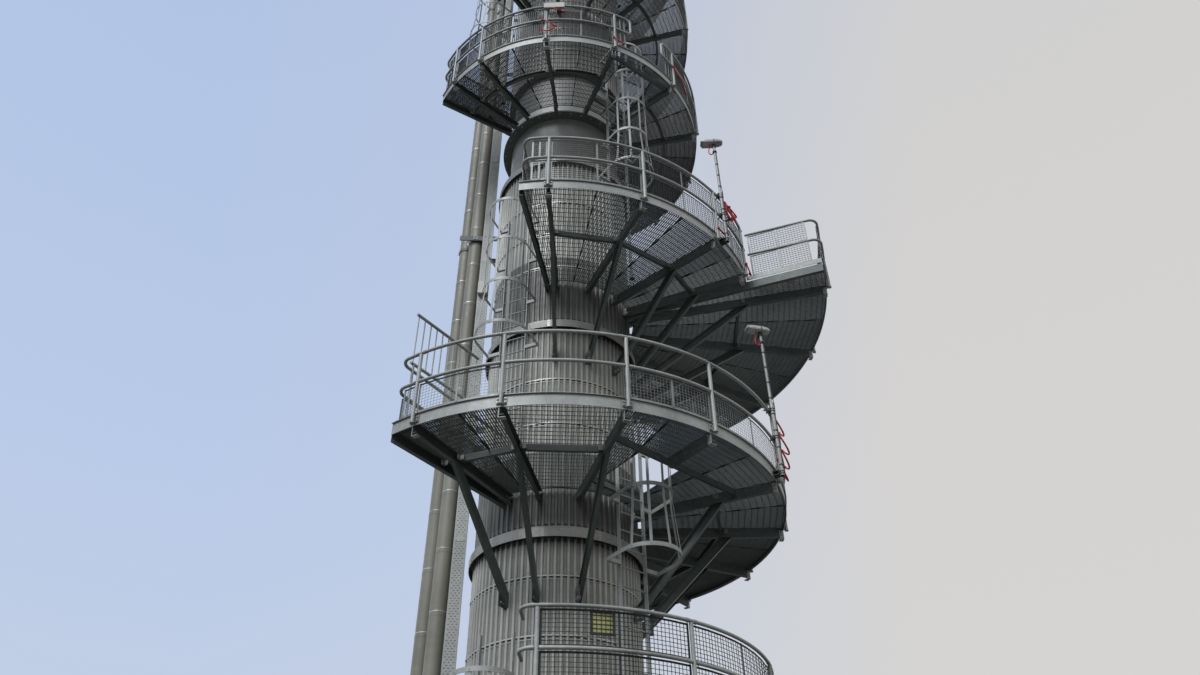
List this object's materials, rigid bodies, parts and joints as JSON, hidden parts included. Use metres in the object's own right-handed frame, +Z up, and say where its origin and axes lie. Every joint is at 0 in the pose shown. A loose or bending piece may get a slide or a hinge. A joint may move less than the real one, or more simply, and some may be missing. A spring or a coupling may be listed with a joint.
{
  "type": "distillation column",
  "caption": "Tall ribbed-clad distillation column on a bolted skirt, with ring platforms on knee braces, caged ladders and two lines down one side.",
  "frame": {"origin": "on the column's axis at the underside of the base ring", "axes": "+Z up along the column; -Y is the front, where the skirt's access opening is; the two lines run down the -X side"},
  "size_m": [7.6748, 7.9351, 33.3851],
  "materials": {
    "primer_steel": "matt grey paint, weathered",
    "shell_paint": "satin grey paint",
    "cladding": "dull weathered sheet",
    "flashing_sheet": "dull weathered sheet",
    "frame_steel": "dark grey-green paint",
    "grating": "hot-dip galvanised, dull",
    "galvanised": "hot-dip galvanised, dull",
    "pipe_cladding": "beige-grey sheet",
    "lamp_grey": "light grey paint"
  },
  "bodies": {
    "root": {"base_ring": "primer_steel", "anchor_chairs": "primer_steel", "skirt": "primer_steel", "skirt_access": "primer_steel", "bottom_head": "shell_paint", "shell": "shell_paint", "top_head": "shell_paint", "shell_clips": "frame_steel", "cladding_1": "cladding", "cladding_2": "cladding", "cladding_3": "cladding", "cladding_4": "cladding", "cladding_5": "cladding", "flashings": "flashing_sheet", "platform_1_frame": "frame_steel", "platform_1_deck": "grating", "platform_1_rail": "galvanised", "platform_2_frame": "frame_steel", "platform_2_deck": "grating", "platform_2_rail": "galvanised", "platform_3_frame": "frame_steel", "platform_3_deck": "grating", "platform_3_rail": "galvanised", "platform_4_frame": "frame_steel", "platform_4_deck": "grating", "platform_4_rail": "galvanised", "platform_5_frame": "frame_steel", "platform_5_deck": "grating", "platform_5_rail": "galvanised", "platform_6_frame": "frame_steel", "platform_6_deck": "grating", "platform_6_rail": "galvanised", "platform_7_frame": "frame_steel", "platform_7_deck": "grating", "platform_7_rail": "galvanised", "ladder_1": "galvanised", "ladder_2": "galvanised", "ladder_3": "galvanised", "ladder_4": "galvanised", "ladder_5": "galvanised", "ladder_6": "galvanised", "ladder_7": "galvanised", "overhead_line": "pipe_cladding", "relief_line": "pipe_cladding", "line_supports": "frame_steel", "manways": "shell_paint", "cable_tray": "galvanised", "lamp_posts": "lamp_grey"}
  },
  "joints": []
}
